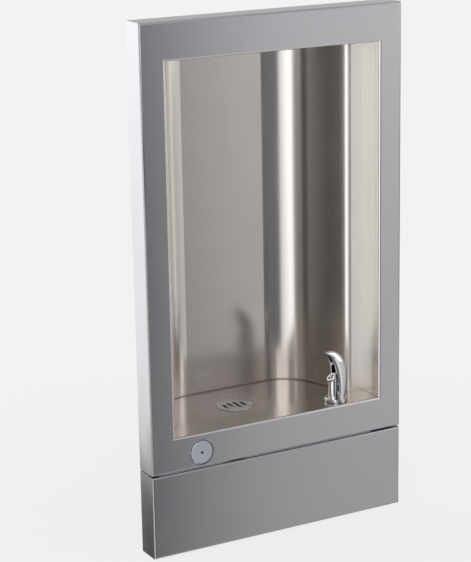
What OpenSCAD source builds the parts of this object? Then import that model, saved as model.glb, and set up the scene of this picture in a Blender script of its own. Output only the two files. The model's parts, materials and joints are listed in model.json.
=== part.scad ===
// Recessed drinking fountain: a stainless steel front with a lined opening, a curved alcove behind it,
// a bubbler on the ledge, a push button valve, a waste outlet and an access panel below.
// X runs to the right, Y into the wall and Z up.
// The origin is the centre of the four wall screws, on the face of the wall.

/* [Front] */
// Width across the front
panel_w = 430; // [410:1:470]
// Height of the whole front, access panel included
panel_h = 787; // [740:1:840]
// Depth of the outer returns, from the front face to the wall
return_d = 41; // [38:1:45]
// Thickness of the front, lining and floor sheet
panel_sheet = 1.6; // [1.4:0.1:1.8]
// Outside radius of the folded edges
bend_r = 3; // [2.4:0.1:4]
// Height of the access panel
access_h = 127; // [115:1:140]
// Gap between the access panel and the upper front
panel_gap = 2.4; // [2.2:0.1:3]

/* [Opening] */
// Margin from the side of the front to the lining
side_margin = 38.5; // [37:0.5:46]
// Margin from the top of the front to the lining
top_margin = 56; // [50:1:70]
// Height of the band between the gap and the ledge
band_h = 52.2; // [50:0.2:60]
// Depth of the ledge and the lining, from the front face
ledge_d = 48; // [46:1:54]

/* [Alcove] */
// Width of the flange beside the alcove's mouth
mouth_margin = 26.5; // [24:0.5:32]
// Depth of the alcove, from the front face
alcove_d = 165; // [155:1:185]
// Angle at which the alcove's sides draw in
splay = 17.5; // [12:0.5:20]
// Radius of the upright back corners
corner_r = 60; // [45:1:70]
// Radius of the fold at the alcove's mouth
mouth_r = 10; // [9:0.5:12]
// Thickness of the alcove sheet
alcove_sheet = 1.2; // [1:0.1:1.4]

/* [Bubbler] */
// Distance of the bubbler from the right side of the lining
bubbler_inset = 63.5; // [56:0.5:75]
// Height of the bubbler above the ledge
bubbler_h = 81; // [76:1:90]
// Radius of the bubbler's base flange
base_r = 17.4; // [16.6:0.1:18]
// Radius of the nozzle column
column_r = 7.3; // [6.8:0.1:7.8]
// Radius of the water jet hole
jet_r = 2.1; // [1.6:0.1:2.6]

/* [Waste] */
// Distance of the waste from the middle, to the left
waste_left = 32; // [20:1:45]
// Distance of the waste from the front face
waste_back = 84; // [80:1:92]
// Radius of the waste flange
waste_flange_r = 27.2; // [26.6:0.1:28.4]
// Outside radius of the tailpiece
tailpiece_r = 15.875; // [15:0.025:16.2]
// Height of the tailpiece's lower end above the foot of the front
tailpiece_end = 24; // [15:1:50]

/* [Button and valve] */
// Distance of the button from the left side of the front
button_inset = 81.6; // [78:0.1:90]
// Height of the button's middle above the gap
button_rise = 23; // [22.8:0.1:26]
// Radius of the push button
button_r = 17.6; // [16.8:0.1:17.8]
// Travel of the push button
button_travel = 4; // [3:0.1:4.5]
// Radius of the supply tube
tube_r = 3.175; // [3:0.025:3.3]
// Outside radius of the threaded water inlet
inlet_r = 10.4; // [9.5:0.1:10.8]

/* [Fixings] */
// Distance of the wall screws from the top and the foot
screw_margin = 60; // [50:1:80]
// Radius of the wall screw holes
wall_hole_r = 3.25; // [2.75:0.05:3.5]
// Thickness of the bracket steel
bracket_t = 2; // [1.8:0.1:2.2]

/* [Hidden] */
$fn = 64;

// Clearances shared by all pieces
over = 1;           // overrun of a cut past the face that it opens
seat_gap = 0.3;     // gap where one piece lies by another on a different body
run_gap = 0.08;     // radial gap of a shaft in its bore
thread_gap = 0.1;   // radial gap of a thread in its nut
hole_gap = 0.5;     // radial gap of a part in its clearance hole
hex = 6;            // sides of a nut
chamfer = 0.6;      // edge broken on turned parts

// Front, opening and alcove
inner_r = bend_r - panel_sheet;
opening_w = panel_w - 2 * side_margin;
sill_z = access_h + panel_gap + band_h;
head_z = panel_h - top_margin;
opening_h = head_z - sill_z;
opening_mid_z = (head_z + sill_z) / 2;
upper_z = access_h + panel_gap;
upper_h = panel_h - upper_z;
foot_flange_d = 30;         // depth of the upper front's bottom flange
access_flange_d = 15;       // depth of the access panel's top flange
jamb_x = opening_w / 2;
weld_lip = 6;               // edge of a sheet that stands past its weld
lip_x = jamb_x + panel_sheet + weld_lip;
mouth_x = jamb_x - mouth_margin;
fold_x = mouth_x - mouth_r * tan(splay) + mouth_r / cos(splay);
corner_y = alcove_d - corner_r;
corner_x = mouth_x - (corner_y + corner_r * sin(splay) - ledge_d) * tan(splay) - corner_r * cos(splay);
plate_lip = alcove_sheet + weld_lip;

// Bubbler
bubbler_x = jamb_x - bubbler_inset;
bubbler_y = ledge_d / 2;
under_deck_z = sill_z - panel_sheet;
deck_hole_r = 9;
shank_r = deck_hole_r - hole_gap;
gasket_t = 0.8;
gasket_r = 15.5;
base_h = 5.4;
base_z = sill_z + gasket_t;
base_top_z = base_z + base_h;
washer_t = 1.6;
washer_r = 15;
locknut_h = 6;
locknut_r = 14.4;
locknut_z = under_deck_z - washer_t - locknut_h;
shank_spare = 10;           // thread left below the locknut
shank_end_z = locknut_z - shank_spare;
tail_r = 5.5;
tail_l = 10;
tail_end_z = shank_end_z - tail_l;
tube_nut_h = 14;
tube_nut_r = 9.2;
tube_nut_grip = 8;          // length of thread inside a tube nut
tube_nut_z = tail_end_z + tube_nut_grip - tube_nut_h;
column_offset = 4.6;
column_h = 28.5;
water_r = 2.6;
cross_r = 2.2;              // bore from the shank across to the column
nozzle_tilt = 38;
nozzle_neck = 2.2;
nozzle_h = 3.4;
nozzle_lip = 0.6;
nozzle_r = column_r + nozzle_lip;
nozzle_dish_r = 5.2;
nozzle_dish = 2.2;
hood_wall = 3.4;
hood_h = bubbler_h - gasket_t - base_h;
hood_steps = 30;
hood_points = 18;
// Curves of the hood: x as a share of the base radius, z as a share of the hood's height
hood_crest_shares = [[0.78, 0], [1.7, 0.7], [0.46, 1.06], [-1.2, 0.99]];
hood_edge_shares = [[0, 0], [-0.05, 0.26], [0, 0.8], [-1, 0.96]];
hood_width_shares = [0.9, 0.6, 0.47, 0.22];
hood_wall_shares = [1, 1, 0.8, 0.5];

// Waste
waste_x = -waste_left;
waste_y = waste_back;
waste_body_r = 22.5;
waste_hole_r = waste_body_r + hole_gap;
seat_drop = 1.2;
seat_flat_r = waste_flange_r + hole_gap;
seat_rim_r = seat_flat_r + seat_drop;
seat_edge_r = seat_rim_r + seat_drop;
waste_flange_t = 2.4;
strainer_r = 23.5;
strainer_t = 1.2;
waste_seat_z = sill_z - seat_drop;
waste_under_z = waste_seat_z - panel_sheet;
waste_top_z = waste_seat_z + waste_flange_t;
waste_gasket_t = 3;
waste_washer_t = 1.2;
waste_locknut_h = 7.5;
waste_locknut_r = 29.6;
waste_tail_r = 20.6;
waste_bowl_r = 20;
waste_tail_l = 26;
waste_shoulder_z = waste_under_z - waste_gasket_t - waste_washer_t - waste_locknut_h - chamfer;
waste_end_z = waste_shoulder_z - waste_tail_l;
waste_locknut_z = waste_under_z - waste_gasket_t - waste_washer_t - waste_locknut_h;
waste_bore_r = 17.5;
strainer_z = waste_top_z - strainer_t - run_gap;
slot_w = 4.6;
slot_pitch = 10;
slot_length_shares = [0.8, 1.15, 1.15, 0.8];
locknut_notches = 6;
notch_deep = 3;
notch_w = 9;
tailpiece_wall = 1.2;
tailpiece_bead_t = 1.5;
tailpiece_washer_t = 1.5;
tailpiece_nut_h = 18;
tailpiece_nut_r = 26.5;
tailpiece_nut_floor = 4.5;
bead_top_z = waste_end_z - tailpiece_washer_t;
tailpiece_nut_z = bead_top_z - tailpiece_bead_t - tailpiece_nut_floor;
tailpiece_neck = 0.2;       // drawn in inside the nut
tailpiece_neck_z = tailpiece_nut_z - seat_gap;

// Button and valve
button_x = button_inset - panel_w / 2;
button_z = upper_z + button_rise;
button_gap = 0.8;
bezel_t = 1;
bezel_lip = 1.1;
bezel_in_r = button_r + button_gap;
bezel_out_r = bezel_in_r + bezel_t;
bezel_rim_r = bezel_out_r + bezel_lip;
bezel_l = 10;
bezel_proud = 0.9;
bezel_nut_l = 4.4;
bezel_nut_r = bezel_out_r + thread_gap + bezel_lip;
button_proud = 1.1;
button_t = 4;
button_hub_r = 7;
button_hub_l = 7.2;
button_grip = 5;            // length of stem inside the hub
button_skirt_t = 1.6;
button_skirt_l = 5;
button_back_y = button_t - button_proud;
hub_end_y = button_back_y + button_hub_l;
key_r = 2.2;
stem_r = 4;
stem_start_y = hub_end_y - button_grip;
flow_screw_r = 2.5;
flow_screw_l = 8;
flow_screw_inset = 1.5;
flow_screw_y = stem_start_y + flow_screw_inset;
stem_bore_l = flow_screw_inset + flow_screw_l + seat_gap;
flow_socket_r = 1.45;
flow_socket_l = 3;
neck_l = 3;
neck_r = 8;
bonnet_l = 6;
travel_spare = 5.9;         // room left between the pressed button and the bonnet
plate_y = hub_end_y + button_travel + travel_spare + bonnet_l;
bonnet_r = 12.6;
bonnet_y = plate_y - bonnet_l;
valve_r = 13.5;
valve_y = plate_y + bracket_t;
valve_l = 34;
valve_end_y = valve_y + valve_l;
chamber_r = 8;
chamber_inset = 12;
port_inset = 16;
chamber_y = valve_y + chamber_inset;
port_y = valve_y + port_inset;
port_r = 6.5;
port_l = 24;
stem_head_r = 6.5;
stem_head_t = 3;
stem_seal_t = 1.5;
stem_head_y = chamber_y + seat_gap + stem_seal_t;
spring_wire_r = 0.8;
spring_r = button_hub_r + 3 * spring_wire_r;
spring_turns = 4;
spring_sides = 6;
spring_rings = 8;
spring_start_y = button_back_y + spring_wire_r + seat_gap;
spring_end_y = bonnet_y - spring_wire_r - seat_gap;
inlet_boss_r = 11;
inlet_boss_l = 6;
inlet_boss_y = valve_end_y + inlet_boss_l;
inlet_hex_l = 8;
inlet_hex_r = 13;
inlet_l = 20;
inlet_bore_r = 6;
screen_t = 1.2;
screen_hole_r = 1;
arm_x = 25;
arm_half_z = 16;
foot_l = 10;
tube_clear = 2.2;           // height of the supply tube over the front's bottom flange
tube_run_z = upper_z + panel_sheet + tube_clear + tube_r;
tube_bend_r = tube_nut_z - tube_run_z;
port_end_x = button_x + port_l;
port_nut_end_x = port_end_x + tube_nut_h - tube_nut_grip;
swerve_l = 60;
tube_sides = 12;
swerve_steps = 14;
bend_steps = 8;

// Brackets and fixings
bracket_gap = 0.3;
bracket_out_x = panel_w / 2 - panel_sheet - bracket_gap;
wall_leg = 27;
wall_leg_x = bracket_out_x - wall_leg;
wall_screw_inset = 12;
wall_screw_x = wall_leg_x + wall_screw_inset;
upper_leg_y = 5;
leg_clear = 3;
lower_leg_y = access_flange_d + leg_clear;
notch_y = foot_flange_d + seat_gap;
notch_h = 6;
notch_z = upper_z + notch_h;
bracket_foot_z = panel_sheet + seat_gap;
bracket_top_z = panel_h - panel_sheet - seat_gap;
ear_w = 24;
ear_x = bracket_out_x - ear_w;
upper_ear_y = 18;
upper_ear_d = 16;
lower_ear_y = 8;
lower_ear_d = 24;
fixing_inset = 13;
fixing_x = bracket_out_x - fixing_inset;
fixing_y = lower_ear_y + lower_ear_d / 2;
upper_fixing_inset = 6.5;
upper_fixing_y = upper_ear_y + upper_fixing_inset;
fixing_r = 2;
fixing_head_r = 4;
fixing_head_t = 2.2;
fixing_nut_r = 4;
fixing_nut_t = 3.2;
slot_r = fixing_r + hole_gap;
access_nut_z = bracket_foot_z + bracket_t + seat_gap;
access_screw_l = access_nut_z + fixing_nut_t + chamfer;
front_screw_l = bracket_t + panel_sheet + fixing_nut_t + chamfer;
top_leg = 30;
top_bracket_gap = 16.1;
top_bracket_x = wall_leg_x - top_bracket_gap;
top_hole_inset = 70;
top_hole_x = top_bracket_x - top_hole_inset;

function backwards(points) = [for (i = [len(points) - 1:-1:0]) points[i]];
function across(points) = [for (p = points) [-p[0], p[1]]];

// A closed outline through one side and its mirror image
function both_sides(points) = concat(points, backwards(across(points)));

// Plan of the alcove's space, let out all round: splayed sides, a fold at the mouth and round back corners
module alcove_space(out) {
    square_on = [cos(splay), sin(splay)];
    difference() {
        union() {
            polygon(both_sides([
                [fold_x, ledge_d - over],
                [fold_x, ledge_d + mouth_r],
                [fold_x, ledge_d + mouth_r] - (mouth_r - out) * square_on,
                [corner_x, corner_y] + (corner_r + out) * square_on,
                [corner_x, corner_y + corner_r + out]
            ]));
            for (side = [-1, 1]) {
                translate([side * corner_x, corner_y]) circle(corner_r + out);
            }
        }
        for (side = [-1, 1]) {
            translate([side * fold_x, ledge_d + mouth_r]) circle(mouth_r - out);
        }
    }
}

// Plan of the alcove with its flange, cut off at the back of the ledge
module alcove_plan(out) {
    intersection() {
        union() {
            alcove_space(out);
            translate([-lip_x, ledge_d - over]) square([2 * lip_x, out + over]);
        }
        translate([-lip_x, ledge_d]) square([2 * lip_x, alcove_d]);
    }
}

module placed() {
    translate([0, -return_d, -panel_h / 2]) children();
}

// Section of a folded pan, its two front corners rounded
module pan_section(w, d, r) {
    translate([-w / 2, r]) square([w, d - r]);
    translate([r - w / 2, 0]) square([w - 2 * r, 2 * r]);
    for (side = [-1, 1]) {
        translate([side * (w / 2 - r), r]) circle(r);
    }
}

// Block with rounded edges all round its front face
module pan_block(w, h, d, r) {
    intersection() {
        translate([0, 0, -h / 2]) linear_extrude(h) pan_section(w, d, r);
        rotate([0, -90, 0]) translate([0, 0, -w / 2]) linear_extrude(w) pan_section(h, d, r);
    }
}

// Shallow pan of folded sheet, open towards the wall
module pan(w, h, d) {
    difference() {
        pan_block(w, h, d, bend_r);
        translate([0, panel_sheet, 0]) {
            pan_block(w - 2 * panel_sheet, h - 2 * panel_sheet, d, inner_r);
        }
    }
}

// Section of the opening, flared where the sheet folds back into it
module flare_section(half, d, r) {
    difference() {
        translate([-half - r, -over]) square([2 * (half + r), bend_r + over]);
        for (side = [-1, 1]) {
            translate([side * (half + r), bend_r]) circle(r);
        }
    }
    translate([-half, bend_r - chamfer]) square([2 * half, d - bend_r + chamfer]);
}

module flare_block(half_w, half_h, d, r) {
    intersection() {
        translate([0, 0, -half_h - 2 * r]) linear_extrude(2 * half_h + 4 * r) flare_section(half_w, d, r);
        rotate([0, -90, 0]) translate([0, 0, -half_w - 2 * r]) {
            linear_extrude(2 * half_w + 4 * r) flare_section(half_h, d, r);
        }
    }
}

// Cylinder along Y, from y to y + l
module bar_y(r, l, y = 0) {
    translate([0, y, 0]) rotate([-90, 0, 0]) cylinder(r = r, h = l);
}

// Ring along Y
module ring_y(r, bore, l, y = 0) {
    difference() {
        bar_y(r, l, y);
        bar_y(bore, l + 2 * over, y - over);
    }
}

// Upright ring
module ring_z(r, bore, h) {
    difference() {
        cylinder(r = r, h = h);
        translate([0, 0, -over]) cylinder(r = bore, h = h + 2 * over);
    }
}

module front_panel() placed() color([0.66, 0.66, 0.67]) {
    difference() {
        translate([0, 0, upper_z + upper_h / 2]) pan(panel_w, upper_h, return_d);
        translate([-jamb_x - bend_r, -over, sill_z - bend_r]) {
            cube([opening_w + 2 * bend_r, panel_sheet + 2 * over, opening_h + 2 * bend_r]);
        }
        translate([-panel_w / 2 + panel_sheet, foot_flange_d, upper_z - over]) {
            cube([panel_w - 2 * panel_sheet, return_d, panel_sheet + 2 * over]);
        }
        translate([button_x, 0, button_z]) bar_y(bezel_out_r + thread_gap, panel_sheet + 2 * over, -over);
        for (side = [-1, 1]) {
            translate([side * fixing_x, upper_fixing_y, upper_z - over]) {
                cylinder(r = slot_r, h = panel_sheet + 2 * over);
            }
        }
    }
}

module recess_lining() placed() color([0.7, 0.69, 0.68]) {
    difference() {
        translate([0, 0, opening_mid_z]) {
            difference() {
                intersection() {
                    flare_block(jamb_x + panel_sheet, opening_h / 2 + panel_sheet, ledge_d, inner_r);
                    translate([-panel_w / 2, 0, -panel_h / 2]) cube([panel_w, ledge_d, panel_h]);
                }
                flare_block(jamb_x, opening_h / 2, ledge_d + over, bend_r);
            }
        }
        translate([bubbler_x, bubbler_y, under_deck_z - over]) {
            cylinder(r = deck_hole_r, h = panel_sheet + 2 * over);
        }
    }
}

module alcove_wall() placed() color([0.62, 0.6, 0.58]) {
    translate([0, 0, sill_z]) linear_extrude(opening_h) {
        difference() {
            alcove_plan(alcove_sheet);
            alcove_space(0);
        }
    }
}

module alcove_plate() {
    linear_extrude(panel_sheet) alcove_plan(plate_lip);
}

module alcove_floor() placed() color([0.55, 0.52, 0.5]) {
    difference() {
        translate([0, 0, under_deck_z]) alcove_plate();
        translate([waste_x, waste_y, under_deck_z - over]) {
            cylinder(r = seat_edge_r, h = panel_sheet + 2 * over);
        }
    }
    translate([waste_x, waste_y, waste_under_z]) rotate_extrude() {
        polygon([
            [waste_hole_r, 0], [waste_hole_r, panel_sheet], [seat_flat_r, panel_sheet],
            [seat_rim_r, panel_sheet + seat_drop], [seat_edge_r, panel_sheet + seat_drop],
            [seat_edge_r, seat_drop], [seat_rim_r + chamfer, seat_drop], [seat_flat_r + chamfer, 0]
        ]);
    }
}

module alcove_ceiling() placed() color([0.6, 0.58, 0.56]) {
    translate([0, 0, head_z]) alcove_plate();
}

module access_panel() placed() color([0.6, 0.6, 0.62]) {
    difference() {
        translate([0, 0, access_h / 2]) pan(panel_w, access_h, return_d);
        translate([-panel_w / 2 + panel_sheet, access_flange_d, access_h - panel_sheet - over]) {
            cube([panel_w - 2 * panel_sheet, return_d, panel_sheet + 2 * over]);
        }
        for (side = [-1, 1]) {
            translate([side * fixing_x, fixing_y, -over]) cylinder(r = slot_r, h = panel_sheet + 2 * over);
        }
    }
}

// Pan head screw with its head down and its shank up
module fixing_screw(l) {
    translate([0, 0, -fixing_head_t]) {
        cylinder(r1 = fixing_head_r - chamfer, r2 = fixing_head_r, h = fixing_head_t);
    }
    cylinder(r = fixing_r, h = l);
}

module fixing_nut() {
    difference() {
        cylinder(r = fixing_nut_r, h = fixing_nut_t, $fn = hex);
        translate([0, 0, -over]) cylinder(r = fixing_r + run_gap, h = fixing_nut_t + 2 * over);
    }
}

module access_panel_screws() placed() color("gainsboro") {
    for (side = [-1, 1]) {
        translate([side * fixing_x, fixing_y, 0]) fixing_screw(access_screw_l);
    }
}

module access_panel_nuts() placed() color("silver") {
    for (side = [-1, 1]) {
        translate([side * fixing_x, fixing_y, access_nut_z]) fixing_nut();
    }
}

module front_panel_screws() placed() color("gainsboro") {
    for (side = [-1, 1]) {
        translate([side * fixing_x, upper_fixing_y, upper_z - bracket_t]) fixing_screw(front_screw_l);
    }
}

module front_panel_nuts() placed() color("silver") {
    for (side = [-1, 1]) {
        translate([side * fixing_x, upper_fixing_y, upper_z + panel_sheet]) fixing_nut();
    }
}

// Right-hand side bracket: an angle with two ears that carry the front and the access panel
module side_bracket() {
    difference() {
        union() {
            translate([wall_leg_x, return_d - bracket_t, bracket_foot_z]) {
                cube([wall_leg, bracket_t, bracket_top_z - bracket_foot_z]);
            }
            translate([bracket_out_x - bracket_t, 0, 0]) rotate([90, 0, 90]) linear_extrude(bracket_t) {
                polygon([
                    [lower_leg_y, bracket_foot_z], [return_d, bracket_foot_z], [return_d, bracket_top_z],
                    [upper_leg_y, bracket_top_z], [upper_leg_y, notch_z], [notch_y, notch_z],
                    [notch_y, upper_z], [lower_leg_y, upper_z]
                ]);
            }
            translate([ear_x, upper_ear_y, upper_z - bracket_t]) cube([ear_w, upper_ear_d, bracket_t]);
            translate([ear_x, lower_ear_y, bracket_foot_z]) cube([ear_w, lower_ear_d, bracket_t]);
        }
        for (z = [screw_margin, panel_h - screw_margin]) {
            translate([wall_screw_x, return_d, z]) {
                bar_y(wall_hole_r, bracket_t + 2 * over, -bracket_t - over);
            }
        }
        translate([fixing_x, upper_fixing_y, upper_z - bracket_t - over]) {
            cylinder(r = slot_r, h = bracket_t + 2 * over);
        }
        translate([fixing_x, fixing_y, bracket_foot_z - over]) {
            cylinder(r = slot_r, h = bracket_t + 2 * over);
        }
        translate([fixing_x - slot_r, lower_ear_y - over, bracket_foot_z - over]) {
            cube([2 * slot_r, fixing_y - lower_ear_y + over, bracket_t + 2 * over]);
        }
    }
}

module right_bracket() placed() color("darkgray") side_bracket();

module left_bracket() placed() color("darkgray") mirror([1, 0, 0]) side_bracket();

module top_bracket() placed() color("darkgray") {
    difference() {
        union() {
            translate([-top_bracket_x, return_d - bracket_t, panel_h - panel_sheet - top_leg]) {
                cube([2 * top_bracket_x, bracket_t, top_leg]);
            }
            translate([-top_bracket_x, upper_leg_y, panel_h - panel_sheet - bracket_t]) {
                cube([2 * top_bracket_x, return_d - upper_leg_y, bracket_t]);
            }
        }
        for (side = [-1, 1]) {
            translate([side * top_hole_x, return_d, panel_h - panel_sheet - top_leg / 2]) {
                bar_y(wall_hole_r, bracket_t + 2 * over, -bracket_t - over);
            }
        }
    }
}

function bezier(p, t) = pow(1 - t, 3) * p[0] + 3 * t * pow(1 - t, 2) * p[1]
    + 3 * t * t * (1 - t) * p[2] + t * t * t * p[3];
function unit(v) = v / norm(v);

// Cylinder that leans with the nozzle, from a height below the bend to one above it
module nozzle_bar(r, low, high) {
    translate([-column_offset, 0, base_top_z + column_h]) rotate([0, -nozzle_tilt, 0]) {
        translate([0, 0, low]) cylinder(r = r, h = high - low);
    }
}

// Everything above the plane where the column bends towards the nozzle
module above_bend(size) {
    translate([-column_offset, 0, base_top_z + column_h]) rotate([0, -nozzle_tilt / 2, 0]) {
        translate([-size, -size, 0]) cube(2 * size);
    }
}

// One crescent section of the hood, its back round and its two edges forward
function hood_ring(t) =
    let (
        crest_share = bezier(hood_crest_shares, t),
        edge_share = bezier(hood_edge_shares, t),
        crest = [crest_share[0] * base_r, crest_share[1] * hood_h],
        edge = [edge_share[0] * base_r, edge_share[1] * hood_h],
        half = bezier(hood_width_shares, t) * base_r,
        wall = bezier(hood_wall_shares, t) * hood_wall,
        deep = norm(crest - edge),
        way = unit(crest - edge)
    )
    concat(
        [for (i = [0:hood_points]) let (a = 180 * i / hood_points - 90)
            [edge[0] + way[0] * deep * cos(a), half * sin(a), edge[1] + way[1] * deep * cos(a)]],
        [for (i = [hood_points:-1:0]) let (a = 180 * i / hood_points - 90)
            [edge[0] + way[0] * (deep - wall) * cos(a), (half - wall * 0.7) * sin(a),
                edge[1] + way[1] * (deep - wall) * cos(a)]]
    );

// Skin of triangles over a row of rings that all have as many points
function skin_faces(rows, size) = [
    for (i = [0:rows - 2], j = [0:size - 1], half = [0, 1])
        let (a = i * size + j, b = i * size + (j + 1) % size)
            half == 0 ? [a, a + size, b] : [b, a + size, b + size]
];

// Strip of triangles that closes a crescent ring, turned over for the far end
function crescent_cap(first, size, far) = [
    for (i = [0:size / 2 - 2], half = [0, 1])
        let (
            a = first + i, b = first + i + 1, c = first + size - 2 - i, d = first + size - 1 - i,
            face = half == 0 ? [a, b, d] : [b, c, d]
        )
            far ? [face[2], face[1], face[0]] : face
];

// Hood cast over the nozzle from behind, seated on the base flange
module bubbler_hood() placed() color([0.78, 0.78, 0.8]) {
    size = 2 * (hood_points + 1);
    rings = [for (i = [0:hood_steps]) hood_ring(i / hood_steps)];
    translate([bubbler_x, bubbler_y, base_top_z]) polyhedron(
        points = [for (ring = rings) each ring],
        faces = concat(
            skin_faces(hood_steps + 1, size),
            crescent_cap(0, size, false),
            crescent_cap(hood_steps * size, size, true)
        )
    );
}

module bubbler_body() placed() color([0.8, 0.8, 0.82]) {
    translate([bubbler_x, bubbler_y, 0]) difference() {
        union() {
            translate([0, 0, base_z]) cylinder(r = base_r, h = base_h - chamfer);
            translate([0, 0, base_top_z - chamfer]) {
                cylinder(r1 = base_r, r2 = base_r - chamfer, h = chamfer);
            }
            translate([0, 0, shank_end_z]) cylinder(r = shank_r, h = base_z - shank_end_z + over);
            translate([0, 0, tail_end_z]) cylinder(r = tail_r, h = tail_l + over);
            translate([-column_offset, 0, base_z + over]) {
                cylinder(r = column_r, h = base_h + column_h + column_r);
            }
        }
        above_bend(2 * column_r + nozzle_h);
        translate([0, 0, tail_end_z - over]) cylinder(r = water_r, h = base_z - tail_end_z + over);
        translate([-column_offset, 0, base_z - 2 * water_r]) {
            cylinder(r = water_r, h = base_h + column_h + 4 * water_r);
        }
        translate([-column_offset, 0, base_z - water_r]) rotate([0, 90, 0]) {
            cylinder(r = cross_r, h = column_offset);
        }
    }
}

module bubbler_nozzle() placed() color([0.85, 0.84, 0.82]) {
    translate([bubbler_x, bubbler_y, 0]) difference() {
        union() {
            intersection() {
                nozzle_bar(column_r, -column_r, nozzle_neck + over);
                above_bend(2 * column_r + nozzle_h);
            }
            nozzle_bar(nozzle_r, nozzle_neck, nozzle_neck + nozzle_h - chamfer);
            translate([-column_offset, 0, base_top_z + column_h]) rotate([0, -nozzle_tilt, 0]) {
                translate([0, 0, nozzle_neck + nozzle_h - chamfer]) {
                    cylinder(r1 = nozzle_r, r2 = nozzle_r - chamfer, h = chamfer);
                }
            }
        }
        nozzle_bar(jet_r, -column_r, nozzle_neck + nozzle_h + over);
        nozzle_bar(nozzle_dish_r, nozzle_neck + nozzle_h - nozzle_dish, nozzle_neck + nozzle_h + over);
    }
}

module bubbler_gasket() placed() color([0.12, 0.12, 0.12]) {
    translate([bubbler_x, bubbler_y, sill_z]) ring_z(gasket_r, shank_r + thread_gap, gasket_t);
}

module bubbler_washer() placed() color("silver") {
    translate([bubbler_x, bubbler_y, under_deck_z - washer_t]) {
        ring_z(washer_r, shank_r + thread_gap, washer_t);
    }
}

module bubbler_locknut() placed() color("darkkhaki") {
    translate([bubbler_x, bubbler_y, locknut_z]) difference() {
        cylinder(r = locknut_r, h = locknut_h, $fn = hex);
        translate([0, 0, -over]) cylinder(r = shank_r + thread_gap, h = locknut_h + 2 * over);
    }
}

// Compression nut, its open end up and the tube below
module tube_nut(thread_r) {
    difference() {
        cylinder(r = tube_nut_r, h = tube_nut_h, $fn = hex);
        translate([0, 0, -over]) cylinder(r = tube_r + thread_gap, h = tube_nut_h);
        translate([0, 0, tube_nut_h - tube_nut_grip]) {
            cylinder(r = thread_r + thread_gap, h = tube_nut_grip + over);
        }
    }
}

module bubbler_tube_nut() placed() color("gold") {
    translate([bubbler_x, bubbler_y, tube_nut_z]) tube_nut(tail_r);
}

module valve_tube_nut() placed() color("gold") {
    translate([port_nut_end_x, port_y, button_z]) rotate([0, -90, 0]) tube_nut(port_r);
}

// Route of the supply tube, from the bubbler's tail to the valve's port
function supply_route() =
    let (
        low_x = bubbler_x - tube_bend_r,
        near_x = port_nut_end_x + tube_bend_r,
        far_x = near_x + swerve_l,
        low = [far_x, bubbler_y, tube_run_z],
        high = [near_x, port_y, button_z]
    )
    concat(
        [[bubbler_x, bubbler_y, tail_end_z - seat_gap]],
        [for (i = [0:bend_steps]) let (a = 90 * i / bend_steps)
            [low_x + tube_bend_r * cos(a), bubbler_y, tube_nut_z - tube_bend_r * sin(a)]],
        [for (i = [0:swerve_steps])
            bezier([low, low - [swerve_l / 2, 0, 0], high + [swerve_l / 2, 0, 0], high], i / swerve_steps)],
        [[port_end_x + seat_gap, port_y, button_z]]
    );

// Tube of triangles along a route that never runs along Y
module tube_along(route, r, sides) {
    last = len(route) - 1;
    rings = [for (i = [0:last])
        let (
            way = unit(route[min(i + 1, last)] - route[max(i - 1, 0)]),
            out = unit(cross(way, [0, 1, 0])),
            side = cross(out, way)
        )
        [for (k = [0:sides - 1]) let (a = 360 * k / sides) route[i] + r * (cos(a) * out + sin(a) * side)]
    ];
    polyhedron(
        points = [for (ring = rings) each ring],
        faces = concat(
            skin_faces(last + 1, sides),
            [[for (k = [0:sides - 1]) k]],
            [[for (k = [sides - 1:-1:0]) last * sides + k]]
        )
    );
}

module supply_tube() placed() color([0.72, 0.45, 0.3]) tube_along(supply_route(), tube_r, tube_sides);

module at_button() {
    translate([button_x, 0, button_z]) children();
}

module push_button() placed() color([0.63, 0.65, 0.7]) at_button() {
    difference() {
        union() {
            bar_y(button_r, button_t - chamfer, chamfer - button_proud);
            translate([0, -button_proud, 0]) rotate([-90, 0, 0]) {
                cylinder(r1 = button_r - chamfer, r2 = button_r, h = chamfer);
            }
            ring_y(button_r, button_r - button_skirt_t, button_skirt_l + chamfer, button_back_y - chamfer);
            bar_y(button_hub_r, button_hub_l + chamfer, button_back_y - chamfer);
        }
        bar_y(key_r, hub_end_y + button_proud, -button_proud - over);
        bar_y(stem_r + run_gap, button_grip + over, stem_start_y);
    }
}

module button_bezel() placed() color([0.75, 0.75, 0.76]) at_button() {
    difference() {
        union() {
            translate([0, -bezel_proud, 0]) rotate([-90, 0, 0]) {
                cylinder(r1 = bezel_rim_r - chamfer, r2 = bezel_rim_r, h = bezel_proud);
            }
            bar_y(bezel_out_r, bezel_l + bezel_proud, -bezel_proud);
        }
        bar_y(bezel_in_r, bezel_l + bezel_proud + 2 * over, -bezel_proud - over);
    }
}

module bezel_nut() placed() color("silver") at_button() {
    ring_y(bezel_nut_r, bezel_out_r + thread_gap, bezel_nut_l, panel_sheet);
}

module flow_screw() placed() color("goldenrod") at_button() {
    difference() {
        bar_y(flow_screw_r, flow_screw_l, flow_screw_y);
        translate([0, flow_screw_y - over, 0]) rotate([-90, 0, 0]) {
            cylinder(r = flow_socket_r, h = flow_socket_l + over, $fn = hex);
        }
    }
}

module valve_stem() placed() color("khaki") at_button() {
    difference() {
        union() {
            bar_y(stem_r, stem_head_y - stem_start_y + over, stem_start_y);
            bar_y(stem_head_r, stem_head_t, stem_head_y);
        }
        bar_y(flow_screw_r + run_gap, stem_bore_l + over, stem_start_y - over);
    }
}

module stem_seal() placed() color([0.15, 0.15, 0.15]) at_button() {
    ring_y(stem_head_r, stem_r + run_gap, stem_seal_t, stem_head_y - stem_seal_t);
}

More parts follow.
